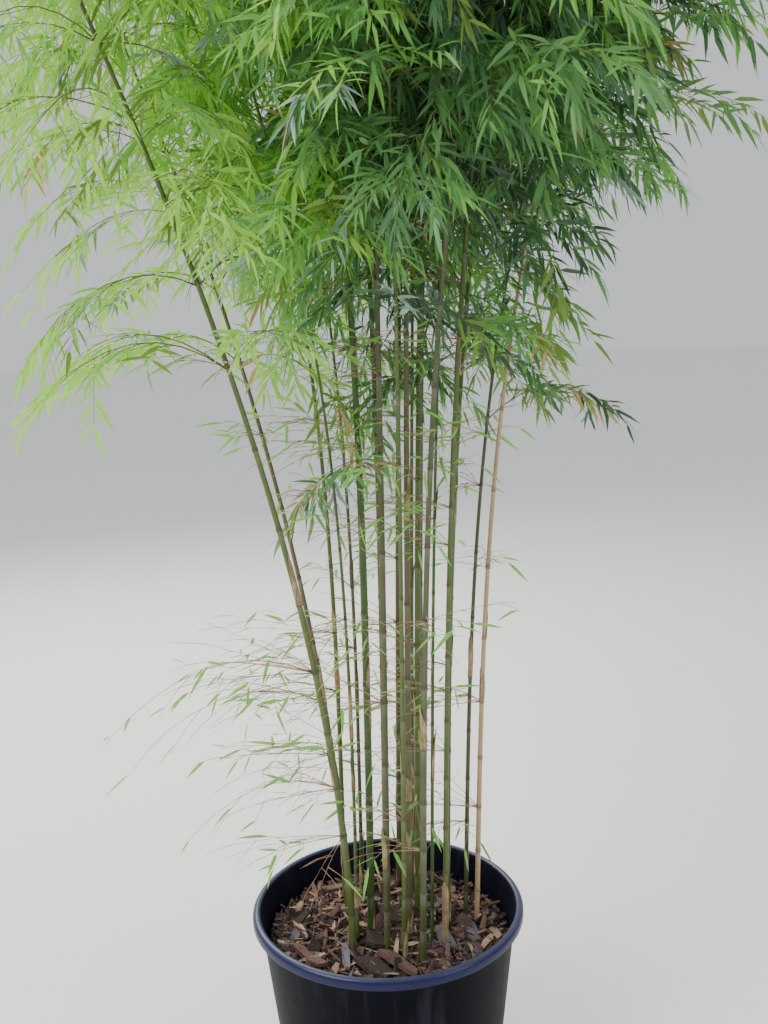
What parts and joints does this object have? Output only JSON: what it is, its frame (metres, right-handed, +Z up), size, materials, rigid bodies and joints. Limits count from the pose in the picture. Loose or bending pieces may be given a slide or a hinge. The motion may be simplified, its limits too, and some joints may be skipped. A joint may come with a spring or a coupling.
{
  "type": "potted bamboo",
  "caption": "Clump of slim jointed bamboo culms with leafy arching crowns and a few low twigs, growing in a round black nursery pot filled with bark-topped compost.",
  "frame": {"origin": "centre of the pot's flat underside, at the level of what it stands on", "axes": "+Z up the culms; +X to the right and +Y away as the plant is seen in the picture"},
  "size_m": [1.4148, 1.256, 2.8339],
  "materials": {
    "pot_plastic": "satin black moulded plastic with a dusty bloom, rim polished by handling",
    "compost": "damp compost under loose bark and wood chips",
    "culm_green": "smooth green culm with a pale bloom under each joint",
    "culm_aged": "weathered olive and grey-brown culm",
    "culm_straw": "dry straw-coloured culm",
    "thin_twig": "thin dry twigs with a few narrow leaves",
    "foliage": "lance-shaped leaves, satin above, duller below"
  },
  "bodies": {
    "root": {"pot": "pot_plastic", "compost_fill": "compost", "culm_01": "culm_green", "culm_02": "culm_aged", "culm_03": "culm_aged", "culm_04": "culm_aged", "culm_05": "culm_green", "culm_06": "culm_green", "culm_07": "culm_green", "culm_08": "culm_aged", "culm_09": "culm_green", "culm_10": "culm_aged", "culm_11": "culm_green", "culm_12": "culm_aged", "culm_13": "culm_green", "culm_14": "culm_straw", "culm_15": "culm_green", "culm_16": "culm_aged", "culm_17": "culm_green", "culm_18": "culm_green", "culm_19": "culm_green", "culm_20": "culm_aged", "culm_21": "culm_aged", "culm_22": "culm_green", "crown_01": "foliage", "crown_02": "foliage", "crown_03": "foliage", "crown_04": "foliage", "crown_05": "foliage", "crown_06": "foliage", "crown_07": "foliage", "crown_08": "foliage", "crown_09": "foliage", "crown_10": "foliage", "crown_11": "foliage", "crown_12": "foliage", "crown_13": "foliage", "crown_14": "foliage", "crown_15": "foliage", "crown_16": "foliage", "low_twig_1": "thin_twig", "low_twig_2": "thin_twig", "low_twig_3": "thin_twig", "low_twig_4": "thin_twig", "low_twig_5": "thin_twig", "low_twig_6": "thin_twig"}
  },
  "joints": []
}
